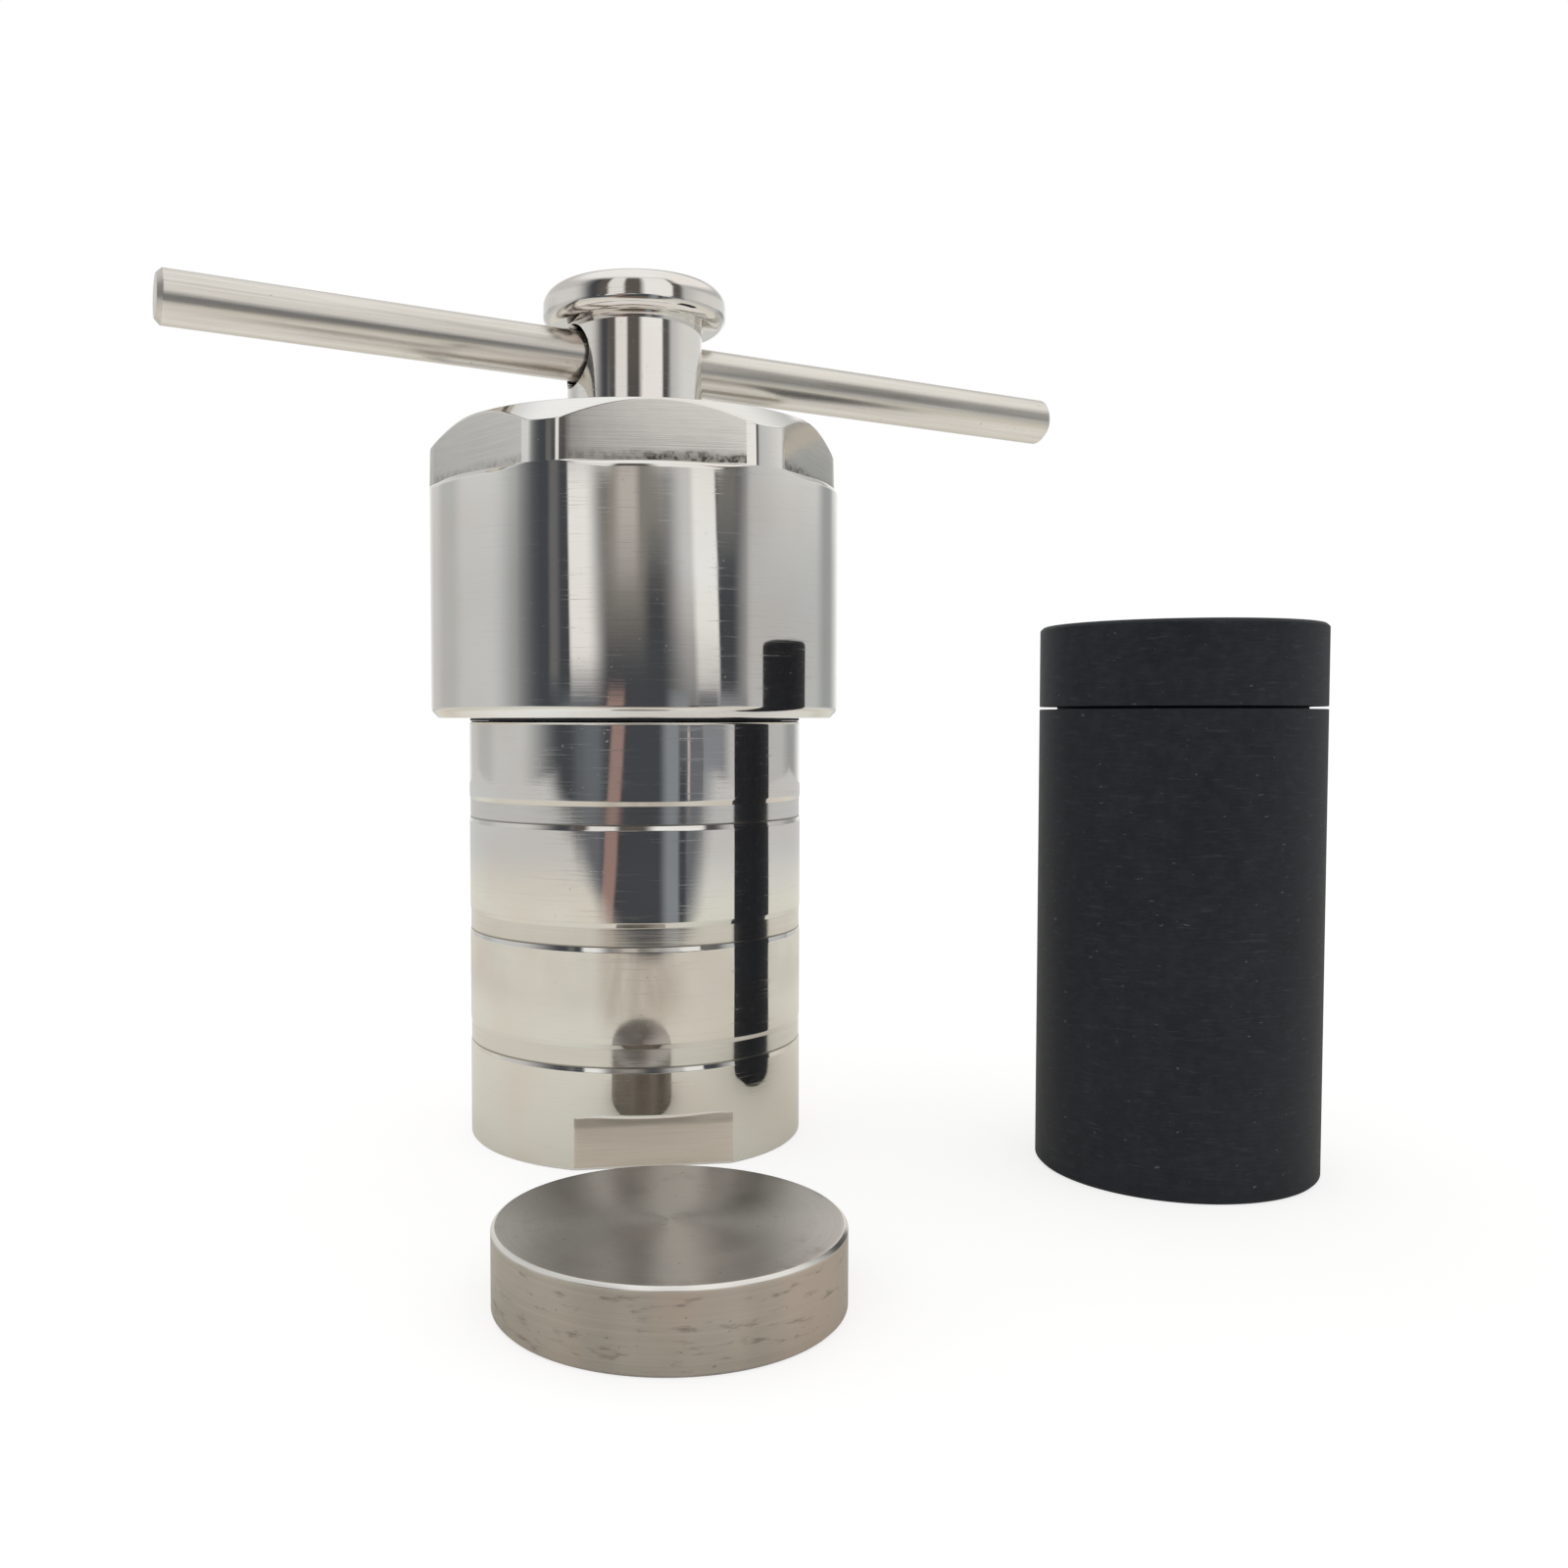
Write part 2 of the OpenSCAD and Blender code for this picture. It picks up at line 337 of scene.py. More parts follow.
BAR_TONES = (0.62, 0.58, 0.53, 1), (0.86, 0.83, 0.78, 1)
BAR_PIT = (0.28, 0.25, 0.22, 1)
POLYMER_TONES = (0.006, 0.0075, 0.0115, 1), (0.024, 0.0275, 0.037, 1)
POLYMER_STREAK = (0.055, 0.06, 0.07, 1)
POLYMER_DUST = (0.13, 0.135, 0.145, 1)

# A quarter turn of the brushed gloss lays its marks round the axis.
CIRCLING = 0.25


def marks(finish, place, along, across, detail=3.0):
    """Fine marks that run round the vertical axis: long along the turn, short across it."""
    return finish.noise(finish.stretched(place, (along, along, across)), 1.0, detail, 0.6)


def lathe_rings(finish, radius, z, fineness):
    """The rings that a lathe leaves: round the axis on a face, and one above the other on a wall."""
    section = finish.node("ShaderNodeCombineXYZ", {}, {0: radius * fineness, 1: z * fineness})
    return finish.noise(section, 1.0, 4.0, 0.7)


def polished_steel():
    """Turned, then polished by hand: gently wavy, with hairlines of the turning and rubbed places."""
    steel = Finish("polished_steel")
    place = steel.place()
    waves = steel.noise(place, 62, 1.0)
    clouds = steel.noise(place, 34, 2.0, 0.55)
    pull = marks(steel, place, 16, 420, 2.0)
    lines = marks(steel, place, 34, 3200)
    hairs = steel.step(marks(steel, place, 75, 5200), 0.55, 0.72)
    pits = steel.step(steel.noise(place, 1500, 2.0, 0.6), 0.68, 0.76)
    rubbed = steel.step(steel.noise(place, 58, 4.0, 0.6), 0.5, 0.72)
    colour = steel.blend(steel.step(clouds, 0.38, 0.66), *POLISHED_TONES)
    colour = steel.blend(hairs * 0.16 + pits * 0.3, colour, POLISHED_HAIR)
    wavy = steel.bump(waves, 0.00005)
    return steel.shine(
        Base_Color=colour,
        Metallic=1.0,
        Roughness=0.035 + rubbed * 0.045 + hairs * 0.17 + pits * 0.2,
        Normal=steel.bump(pull * 0.5 + lines * 0.25, 0.000004, wavy),
    )


def band_steel():
    """The floors of the shell's bands: finely turned, and darker in a thin line along each lower edge."""
    steel = Finish("band_steel")
    place = steel.place()
    _, _, z = steel.parts(place)
    waves = steel.noise(place, 62, 1.0)
    lines = steel.step(marks(steel, place, 40, 4200), 0.35, 0.7)
    streaks = marks(steel, place, 30, 900, 2.0)
    lowest_edge = (BAND_HEIGHTS[0] - BAND_FLOOR / 2) * MM
    pitch = (BAND_HEIGHTS[1] - BAND_HEIGHTS[0]) * MM
    above_edge = (z - (lowest_edge - pitch / 2)) % pitch - pitch / 2
    # A thin darker line along each band's lower edge, stronger in streaks.
    dark_line = steel.hump(above_edge, -0.00045, -0.0002, 0.0001, 0.0004) * (0.5 + streaks * 0.6)
    colour = steel.blend(lines * 0.5 + streaks * 0.5, *BAND_TONES)
    colour = steel.blend(dark_line, colour, BAND_EDGE_LINE)
    return steel.shine(
        Base_Color=colour,
        Metallic=1.0,
        Roughness=0.07 + streaks * 0.05 + lines * 0.03 + dark_line * 0.2,
        Normal=steel.bump(lines * 0.4 + streaks, 0.000004, steel.bump(waves, 0.00005)),
    )


def milled_steel():
    """The cap's wrench flats: fine brush marks one way, and a dark band in patches and specks just above
    the ledge, stronger on the right.
    """
    steel = Finish("milled_steel")
    place = steel.place()
    x, _, z = steel.parts(place)
    lines = steel.step(marks(steel, place, 60, 4200), 0.3, 0.7)
    streaks = marks(steel, place, 16, 900, 2.0)
    patches = steel.noise(place, 95, 3.0)
    unevenness = steel.noise(steel.stretched(place, (110, 110, 600)), 1.0, 4.0, 0.7) * 0.0024 - 0.0012
    above_ledge = z - CAP_LEDGE * MM + unevenness
    right_side = steel.step(x, -0.002, 0.006, 0.35, 1.0)
    ledge_weight = right_side * steel.step(patches, 0.3, 0.6, 0.5, 1.0)
    specks = steel.step(steel.noise(place, 900, 3.0, 0.6), 0.42, 0.62, 0.45, 1.0)
    # A dark band in patches and specks just above the ledge, stronger on the right (+X).
    ledge_band = steel.hump(above_ledge, -0.002, 0.0001, 0.0009, 0.0026) * ledge_weight * specks
    colour = steel.blend(lines * 0.4 + streaks * 0.35 + patches * 0.25, *MILLED_TONES)
    colour = steel.blend(ledge_band * 1.25, colour, MILLED_LEDGE_DARK)
    return steel.shine(
        Base_Color=colour,
        Metallic=1.0,
        Roughness=0.07 + patches * 0.05 + lines * 0.02 + ledge_band * 0.2,
        Normal=steel.bump(lines * 0.3 + streaks * 0.5, 0.000004, steel.bump(patches, 0.00002)),
    )


def foot_flat_steel():
    """The shell's wrench flats: brushed satin, a little brown, with a dark line of painted shade under the
    ledge.
    """
    steel = Finish("foot_flat_steel")
    place = steel.place()
    _, _, z = steel.parts(place)
    lines = steel.step(marks(steel, place, 70, 3600), 0.3, 0.7)
    patches = steel.noise(steel.stretched(place, (60, 60, 160)), 1.0, 3.0, 0.6)
    # Painted shade: a dark line on the flat just under the ledge's overhang.
    under_ledge = FOOT_FLAT_TOP * MM - z + patches * 0.0006
    dark_line = steel.hump(under_ledge, 0.0, 0.0008, 0.0016, 0.0028) * steel.step(patches, 0.3, 0.6, 0.5, 1.0)
    colour = steel.blend(lines * 0.4 + patches * 0.6, *FOOT_FLAT_TONES)
    colour = steel.blend(dark_line * 0.6, colour, FOOT_FLAT_SHADE)
    return steel.shine(
        Base_Color=colour,
        Metallic=1.0,
        Roughness=0.3 + patches * 0.1 + lines * 0.04,
        Normal=steel.bump(lines, 0.000005),
    )


def turned_steel():
    """A face or wall as the lathe leaves it, with rings round its own axis."""
    steel = Finish("turned_steel")
    place = steel.place()
    x, y, z = steel.parts(place)
    rings = lathe_rings(steel, steel.from_axis(x, y), z, 1800)
    patches = steel.noise(place, 90, 3.0, 0.6)
    tone = steel.step(rings, 0.3, 0.7)
    colour = steel.blend(tone * 0.55 + patches * 0.45, *TURNED_TONES)
    return steel.shine(
        Base_Color=colour,
        Metallic=1.0,
        Roughness=0.22 + patches * 0.1 + tone * 0.05,
        Anisotropic=0.7,
        Anisotropic_Rotation=CIRCLING,
        Normal=steel.bump(rings, 0.00002),
    )


def disc_steel():
    """The disc: finely faced, brownish from heat, with short smudges and dark pits round its wall, painted
    shade on the back of its wall, and a painted highlight along its top edge.
    """
    steel = Finish("disc_steel")
    place = steel.place(DISC_PLACE)
    x, y, z = steel.parts(place)
    radius = steel.from_axis(x, y)
    rings = lathe_rings(steel, radius, z, 2600)
    patches = steel.noise(place, 75, 3.0, 0.6)
    smudges = steel.step(marks(steel, place, 190, 900, 4.0), 0.55, 0.74)
    pits = steel.step(steel.noise(steel.stretched(place, (900, 900, 1300)), 1.0, 2.0, 0.5), 0.70, 0.77)
    tone = steel.step(rings, 0.3, 0.7) * 0.3 + patches * 0.7
    wall = steel.step(radius, (DISC_R - 1.2) * MM, (DISC_R - 0.4) * MM)
    face = steel.step(wall, 0.0, 1.0, 0.35, 0.0)
    worn = 0.25 + wall * 0.75
    warm = steel.step(steel.noise(steel.stretched(place, (60, 60, 18)), 1.0, 2.0), 0.4, 0.62) * worn
    # Painted shade: the wall darker on its back, the side that faces the vessel.
    painted_shade_behind = steel.step(y, -0.004, 0.014) * wall
    # Painted highlight: brighter steel in a thin ring along the top edge.
    top_edge = steel.step(z, (DISC_T - 0.9) * MM, (DISC_T - 0.5) * MM)
    edge = steel.hump(radius, *((DISC_R + shift) * MM for shift in (-0.7, -0.45, -0.1, 0.05))) * top_edge
    colour = steel.blend(tone, *DISC_TONES)
    colour = steel.blend(face, colour, DISC_FACE)
    colour = steel.blend(warm * 0.6, colour, DISC_WARM)
    colour = steel.blend(painted_shade_behind * 0.75, colour, DISC_REAR_SHADE)
    colour = steel.blend(smudges * worn * 0.6 + pits * 0.55, colour, DISC_SMUDGE)
    colour = steel.blend(edge, colour, DISC_EDGE_HIGHLIGHT)
    return steel.shine(
        Base_Color=colour,
        Metallic=1.0,
        Roughness=0.24 + patches * 0.13 + smudges * 0.06,
        Anisotropic=0.85,
        Anisotropic_Rotation=CIRCLING,
        Normal=steel.bump(rings, 0.000006, steel.bump(smudges, 0.00001)),
    )


def ground_bar_steel():
    """Bar stock, ground along its length, rubbed dull in patches."""
    steel = Finish("ground_bar_steel")
    lean = math.asin(-BAR_AXIS.z)
    place = steel.place((0, 0, BAR_Z * MM), (0, lean, math.radians(BAR_AZIMUTH)))
    lines = steel.noise(steel.stretched(place, (55, 3600, 3600)), 1.0, 3.0, 0.6)
    streaks = steel.noise(steel.stretched(place, (7, 520, 520)), 1.0, 2.0, 0.6)
    patches = steel.noise(steel.stretched(place, (35, 140, 140)), 1.0, 3.0)
    pits = steel.step(steel.noise(place, 900, 2.0, 0.6), 0.70, 0.78)
    tone = steel.step(lines * 0.5 + streaks * 0.5, 0.35, 0.65)
    colour = steel.blend(tone * 0.5 + patches * 0.5, *BAR_TONES)
    colour = steel.blend(pits * 0.5, colour, BAR_PIT)
    return steel.shine(
        Base_Color=colour,
        Metallic=1.0,
        Roughness=0.19 + patches * 0.09 + streaks * 0.05,
        Normal=steel.bump(lines * 0.6 + streaks, 0.000010),
    )


def black_polymer(name, centre=(0, 0, 0)):
    """Blue-black filled polymer: faint, broken turning marks, a slight mottle and a few pale specks."""
    black = Finish(name)
    place = black.place(centre)
    lines = marks(black, place, 420, 2600)
    clouds = black.noise(black.stretched(place, (70, 70, 36)), 1.0, 3.0, 0.6)
    mottle = black.noise(place, 420, 4.0, 0.65)
    dust = black.step(black.noise(black.stretched(place, (620, 620, 1300)), 1.0, 2.0, 0.5), 0.70, 0.78)
    streaks = black.step(marks(black, place, 210, 1500, 4.0), 0.57, 0.72)
    tone = black.step(lines * 0.4 + mottle * 0.6, 0.36, 0.68)
    colour = black.blend(tone * 0.45 + clouds * 0.55, *POLYMER_TONES)
    colour = black.blend(streaks * 0.3, colour, POLYMER_STREAK)
    colour = black.blend(dust * 0.55, colour, POLYMER_DUST)
    return black.shine(
        Base_Color=colour,
        Roughness=0.48 + mottle * 0.2,
        IOR=1.36,
        Normal=black.bump(lines * 0.5 + mottle * 0.5, 0.00002),
    )


POLISHED = polished_steel()
BANDS = band_steel()
MILLED = milled_steel()
FOOT_FLATS = foot_flat_steel()
TURNED = turned_steel()
DISC_STEEL = disc_steel()
BAR_STEEL = ground_bar_steel()
LINER_BLACK = black_polymer("black_liner_polymer", LINER_PLACE)
WASHER_BLACK = black_polymer("black_washer_polymer")

# ---------------------------------------------------------------- turned shapes
# A rounding takes up to this share of the shorter side next to its corner.
ROUND_SHARE = 0.49
LEAST_ROUND_STEPS = 5
ROUND_STEPS_PER_MM = 4

# Points closer than these are one point, in metres.
MERGED = 0.000002
MERGED_IN_RIDGE = 0.000001
NO_LENGTH = 0.0000005

# Edges that fold more than this stay sharp.
SHARP = math.radians(35)
SHARP_AFTER_CUT = math.radians(30)
SHARP_IN_RIDGE = math.radians(20)


def rounded(corners):
    """The outline through corners (radius, height, rounding), each rounded as far as its sides allow."""
    outline = []
    for i, (radius, height, rounding) in enumerate(corners):
        here = Vector((radius, height, 0))
        if not rounding:
            outline.append(here)
            continue
        back = Vector((*corners[i - 1][:2], 0)) - here
        ahead = Vector((*corners[(i + 1) % len(corners)][:2], 0)) - here
        half = back.angle(ahead) / 2
        reach = min(rounding / math.tan(half), ROUND_SHARE * back.length, ROUND_SHARE * ahead.length)
        inward = (back.normalized() + ahead.normalized()).normalized()
        centre = here + inward * (reach / math.cos(half))
        start = here + back.normalized() * reach - centre
        end = here + ahead.normalized() * reach - centre
        steps = max(LEAST_ROUND_STEPS, math.ceil(ROUND_STEPS_PER_MM * rounding))
        outline += [centre + start.slerp(end, k / steps) * start.length for k in range(steps + 1)]
    return outline


def even_bearings(count):
    return [360 * i / count for i in range(count)]


def towards(bearing):
    """Unit vector out from the axis. Bearings count from the front towards +X."""
    angle = math.radians(bearing)
    return Vector((math.sin(angle), -math.cos(angle), 0))


def turned(outline_at, bearings, ring=False):
    """Joins the outlines at each bearing round the axis into one closed skin, as a bmesh in metres."""
    skin = bmesh.new()
    columns = []
    for bearing in bearings:
        out = towards(bearing)
        points = outline_at(bearing)
        columns.append([skin.verts.new((out * p.x + Vector((0, 0, p.y))) * MM) for p in points])
    rows = len(columns[0])
    for here, beside in zip(columns, columns[1:] + columns[:1]):
        for low in range(rows if ring else rows - 1):
            high = (low + 1) % rows
            skin.faces.new((here[low], beside[low], beside[high], here[high]))
    return skin


def lathed(corners, columns, ring=False):
    """A skin that has the same outline all round."""
    outline = rounded(corners)
    return turned(lambda bearing: outline, even_bearings(columns), ring)


def finished(name, skin, materials, choose=None, place=Vector((0, 0, 0))):
    """Makes a piece of a skin: doubles merged, faces outward, smooth, broad faces kept true."""
    bmesh.ops.remove_doubles(skin, verts=skin.verts, dist=MERGED)
    bmesh.ops.dissolve_degenerate(skin, edges=skin.edges, dist=NO_LENGTH)
    bmesh.ops.recalc_face_normals(skin, faces=skin.faces)
    if choose:
        for face in skin.faces:
            finish = choose(face.calc_center_median() / MM, face.normal)
            face.material_index = materials.index(finish)
    for face in skin.faces:
        face.smooth = True
    bmesh.ops.translate(skin, verts=skin.verts, vec=place)
    mesh = bpy.data.meshes.new(name)
    skin.to_mesh(mesh)
    skin.free()
    for material in materials:
        mesh.materials.append(material)
    mesh.set_sharp_from_angle(angle=SHARP)
    piece = bpy.data.objects.new(name, mesh)
    bpy.context.collection.objects.link(piece)
    piece.modifiers.new("true_faces", "WEIGHTED_NORMAL").keep_sharp = True
    return applied(piece)


def applied(piece):
    """Replaces a piece's modifiers by the plain mesh that they make."""
    seen = piece.evaluated_get(bpy.context.evaluated_depsgraph_get())
    mesh = bpy.data.meshes.new_from_object(seen)
    piece.modifiers.clear()
    piece.data = mesh
    return piece


def fit(piece, body, node=None):
    """Puts a finished piece on its body, in the place of the solid that it stands for."""
    if node:
        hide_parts(node)
    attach(piece, body)


# ---------------------------------------------------------------- ridges and rings that follow a spiral
# Stands the four-sided section up, so that its top width points away from the axis.
SECTION_TURN = -math.pi / 2
STEPS_PER_TURN = 120


def spiral_sweep():
    """A geometry tree: a bar of four sides swept along a right-hand spiral that rises from its foot."""
    group = bpy.data.node_groups.new("spiral_sweep", "GeometryNodeTree")
    for name in ("Radius", "Foot", "Pitch", "Turns", "Depth", "Inner Width", "Outer Width"):
        group.interface.new_socket(name, in_out="INPUT", socket_type="NodeSocketFloat")
    group.interface.new_socket("Finish", in_out="INPUT", socket_type="NodeSocketMaterial")
    group.interface.new_socket("Geometry", in_out="OUTPUT", socket_type="NodeSocketGeometry")
    sweep = Tree(group)
    given = sweep.node("NodeGroupInput")
    radius = given.of("Radius")
    spiral = {
        "Resolution": STEPS_PER_TURN,
        "Rotations": given.of("Turns"),
        "Start Radius": radius,
        "End Radius": radius,
        "Height": given.of("Turns") * given.of("Pitch"),
        "Reverse": True,
    }
    path = sweep.node("GeometryNodeCurveSpiral", {}, spiral)
    lift = sweep.node("ShaderNodeCombineXYZ", {}, {2: given.of("Foot")})
    path = sweep.node("GeometryNodeSetPosition", {}, {"Geometry": path, "Offset": lift})
    path = sweep.node("GeometryNodeSetCurveNormal", {"mode": "Z_UP"}, {"Curve": path})
    section = {
        "Height": given.of("Depth"),
        "Bottom Width": given.of("Inner Width"),
        "Top Width": given.of("Outer Width"),
        "Offset": 0.0,
    }
    profile = sweep.node("GeometryNodeCurvePrimitiveQuadrilateral", {"mode": "TRAPEZOID"}, section)
    turn = {"Geometry": profile, "Rotation": (0, 0, SECTION_TURN)}
    profile = sweep.node("GeometryNodeTransform", {}, turn)
    along = {"Curve": path, "Profile Curve": profile, "Fill Caps": True}
    skin = sweep.node("GeometryNodeCurveToMesh", {}, along)
    skin = sweep.node("GeometryNodeRealizeInstances", {}, {"Geometry": skin})
    skin = sweep.node("GeometryNodeSetMaterial", {}, {"Geometry": skin, "Material": given.of("Finish")})
    sweep.node("NodeGroupOutput", {}, {"Geometry": skin})
    return group


SPIRAL = spiral_sweep()


def swept(name, material, **sizes):
    """A piece made by the spiral tree. Sizes are in millimetres, apart from the number of turns."""
    piece = bpy.data.objects.new(name, bpy.data.meshes.new(name))
    bpy.context.collection.objects.link(piece)
    follow = piece.modifiers.new("follow_spiral", "NODES")
    follow.node_group = SPIRAL
    given = {key: float(size * MM) for key, size in sizes.items()}
    given["turns"] = float(sizes["turns"])
    given["finish"] = material
    for item in SPIRAL.interface.items_tree:
        if item.in_out == "INPUT":
            follow[item.identifier] = given[item.name.replace(" ", "_").lower()]
    applied(piece)
    skin = bmesh.new()
    skin.from_mesh(piece.data)
    bmesh.ops.remove_doubles(skin, verts=skin.verts, dist=MERGED_IN_RIDGE)
    bmesh.ops.recalc_face_normals(skin, faces=skin.faces)
    skin.to_mesh(piece.data)
    skin.free()
    piece.data.set_sharp_from_angle(angle=SHARP_IN_RIDGE)
    return piece


def thread(name, crest_r, foot, turns, outward):
    """A thread's ridge, sunk a little into its wall: crest outward on a screw and inward in a nut."""
    side = 1 if outward else -1
    return swept(
        name,
        TURNED,
        radius=crest_r - side * (THREAD_DEPTH / 2 + THREAD_SUNK),
        foot=foot + RIDGE_ROOT / 2,
        pitch=THREAD_PITCH,
        turns=turns,
        depth=THREAD_DEPTH,
        inner_width=RIDGE_ROOT if outward else RIDGE_CREST,
        outer_width=RIDGE_CREST if outward else RIDGE_ROOT,
    )


# ---------------------------------------------------------------- wrench flats
# Where a flat has run out, its surface stays this little inside the round wall.
HAIR = 0.003


def off_flat(bearing, count):
    """How many degrees a bearing lies from the nearest of count evenly spaced flats."""
    pitch = 360 / count
    return (bearing - FLAT_BEARING + pitch / 2) % pitch - pitch / 2


def flat_radius(bearing, count, distance, round_r, ease):
    """From the axis to the surface of the flats, eased into the round wall at each flat's ends."""
    flat = distance / math.cos(math.radians(off_flat(bearing, count)))
    return min(round_r - HAIR, (flat + round_r - math.sqrt((flat - round_r) ** 2 + ease ** 2)) / 2)


def flat_bearings(count, distance, round_r, across, between, near):
    """Bearings for columns: across a flat, between flats, and a fine run near each flat's two ends."""
    end = math.degrees(math.acos(distance / round_r))
    pitch = 360 / count
    found = []
    for i in range(count):
        middle = FLAT_BEARING + i * pitch
        inner = end - near[-1]
        outer = pitch / 2 - end - near[-1]
        found += [middle + inner * (2 * k / across - 1) for k in range(1, across)]
        found += [middle + end + shift for shift in near]
        found += [middle + pitch / 2 + outer * (2 * k / between - 1) for k in range(1, between)]
        found += [middle + pitch - end + shift for shift in near]
    return sorted(found)


# ---------------------------------------------------------------- shell
def band(height):
    """Corners of one shallow band, from its lower edge up."""
    low = height - BAND_FLOOR / 2
    high = height + BAND_FLOOR / 2
    floor_r = SHELL_R - BAND_DEPTH
    return [
        (SHELL_R, low - BAND_SLOPE, 1.2),
        (floor_r, low, 0.8),
        (floor_r, high, 0.8),
        (SHELL_R, high + BAND_SLOPE, 1.3),
    ]


def shell_outline(bearing):
    flat = flat_radius(bearing, 2, FOOT_FLAT, SHELL_R, 0.15)
    thread_root = SHELL_THREAD_R - THREAD_DEPTH
    corners = [
        (0, 0, 0),
        (min(SHELL_R, flat) - FOOT_CHAMFER, 0, 0.15),
        (flat, FOOT_CHAMFER, 0.3),
        (flat, FOOT_FLAT_TOP, 0.15),
        (SHELL_R, FOOT_FLAT_TOP, 0.95),
    ]
    for height in BAND_HEIGHTS:
        corners += band(height)
    corners += [
        (SHELL_R, SHOULDER - SHELL_CHAMFER, 0.5),
        (SHELL_R - SHELL_CHAMFER, SHOULDER, 0.5),
        (thread_root, SHOULDER, 0.4),
        (thread_root, MOUTH - SHELL_CHAMFER, 0.3),
        (thread_root - SHELL_CHAMFER, MOUTH, 0.3),
        (BORE_R + SHELL_CHAMFER, MOUTH, 0.3),
        (BORE_R, MOUTH - SHELL_CHAMFER, 0.3),
        (BORE_R, SHELL_FLOOR + BORE_CHAMFER, 1.0),
        (BORE_R - BORE_CHAMFER, SHELL_FLOOR, 1.0),
        (0, SHELL_FLOOR, 0),
    ]
    return rounded(corners)


def shell_finish(centre, normal):
    """Which of the shell's finishes a face has: polished, band, turned inside, or wrench flat."""
    radius = math.hypot(centre.x, centre.y)
    if radius < BORE_R + 0.1 and centre.z > SHELL_FLOOR - 0.1:
        return TURNED
    if centre.z < FOOT_FLAT_TOP - 0.1 and radius < SHELL_R - 0.05 and abs(normal.z) < 0.1:
        return FOOT_FLATS
    in_band = any(abs(centre.z - height) < BAND_FLOOR / 2 + 0.25 for height in BAND_HEIGHTS)
    return BANDS if in_band and radius > BORE_R + 1 else POLISHED


def make_shell():
    near = (-1.2, -0.6, -0.25, 0, 0.25, 0.6, 1.2)
    bearings = flat_bearings(2, FOOT_FLAT, SHELL_R, across=26, between=60, near=near)
    skin = turned(shell_outline, bearings)
    shell = finished("vessel_shell", skin, [POLISHED, BANDS, TURNED, FOOT_FLATS], shell_finish)
    fit(shell, "vessel", "shell")
    ridge = thread("shell_thread", SHELL_THREAD_R, THREAD_FOOT, THREAD_TURNS, outward=True)
    fit(ridge, "vessel")


# ---------------------------------------------------------------- cap
def cap_outline(bearing):
    low_flat = flat_radius(bearing, 6, CAP_FLAT, CAP_R, 0.12)
    top_flat = flat_radius(bearing, 6, CAP_FLAT, CAP_R, 0.6)
    hole_r = HOLE_THREAD_R + THREAD_DEPTH
    thread_root = CAP_THREAD_R + THREAD_DEPTH
    corners = [
        (thread_root - THREAD_ENTRY, CAP_FOOT, 0.2),
        (CAP_R - CAP_FOOT_CHAMFER, CAP_FOOT, 0.7),
        (CAP_R, CAP_FOOT + CAP_FOOT_CHAMFER, 1.6),
        (CAP_R, CAP_LEDGE, 1.4),
        (low_flat, CAP_LEDGE, 0.3),
        (top_flat, CAP_TOP - CAP_CHAMFER + CAP_R - top_flat, 0.6),
        (CAP_R - CAP_CHAMFER, CAP_TOP, 0.8),
        (hole_r + THREAD_ENTRY / 2, CAP_TOP, 0.3),
        (hole_r, CAP_TOP - THREAD_ENTRY, 0.3),
        (hole_r, CAP_CEILING + HOLE_CHAMFER, 0.2),
        (hole_r - HOLE_CHAMFER, CAP_CEILING, 0.2),
        (CHAMBER_R, CAP_CEILING, 1.0),
        (CHAMBER_R, CHAMBER_FOOT, 0.4),
        (thread_root, CAP_RELIEF_TOP, 0.4),
        (thread_root, CAP_FOOT + THREAD_ENTRY, 0.2),
    ]
    return rounded(corners)


def cap_finish(centre, normal):
    """Which of the cap's finishes a face has: polished, wrench flat, or turned inside."""
    radius = math.hypot(centre.x, centre.y)
    if radius < CAP_THREAD_R + THREAD_DEPTH + 0.1 and centre.z < CAP_TOP - 0.1:
        return TURNED
    bearing = math.degrees(math.atan2(centre.x, -centre.y))
    on_flat = towards(bearing - off_flat(bearing, 6)).dot(normal) > 0.9995 and centre.z > CAP_LEDGE
    return MILLED if on_flat and radius < CAP_R - 0.05 else POLISHED


def make_cap():
    near = (-3, -2.2, -1.5, -1, -0.5, 0, 0.5, 1, 1.5, 2.2, 3)
    bearings = flat_bearings(6, CAP_FLAT, CAP_R, across=22, between=4, near=near)
    skin = turned(cap_outline, bearings, ring=True)
    cap = finished("vessel_cap", skin, [POLISHED, MILLED, TURNED], cap_finish)
    fit(cap, "lid", "cap")
    ridge = thread("cap_thread", CAP_THREAD_R, THREAD_FOOT, THREAD_TURNS, outward=False)
    fit(ridge, "lid")
    turns = math.floor((CAP_TOP - CAP_CEILING - 2 * THREAD_DEPTH) / THREAD_PITCH)
    foot = CAP_CEILING + HOLE_CHAMFER
    hole_ridge = thread("cap_hole_thread", HOLE_THREAD_R, foot, turns, outward=False)
    fit(hole_ridge, "lid")


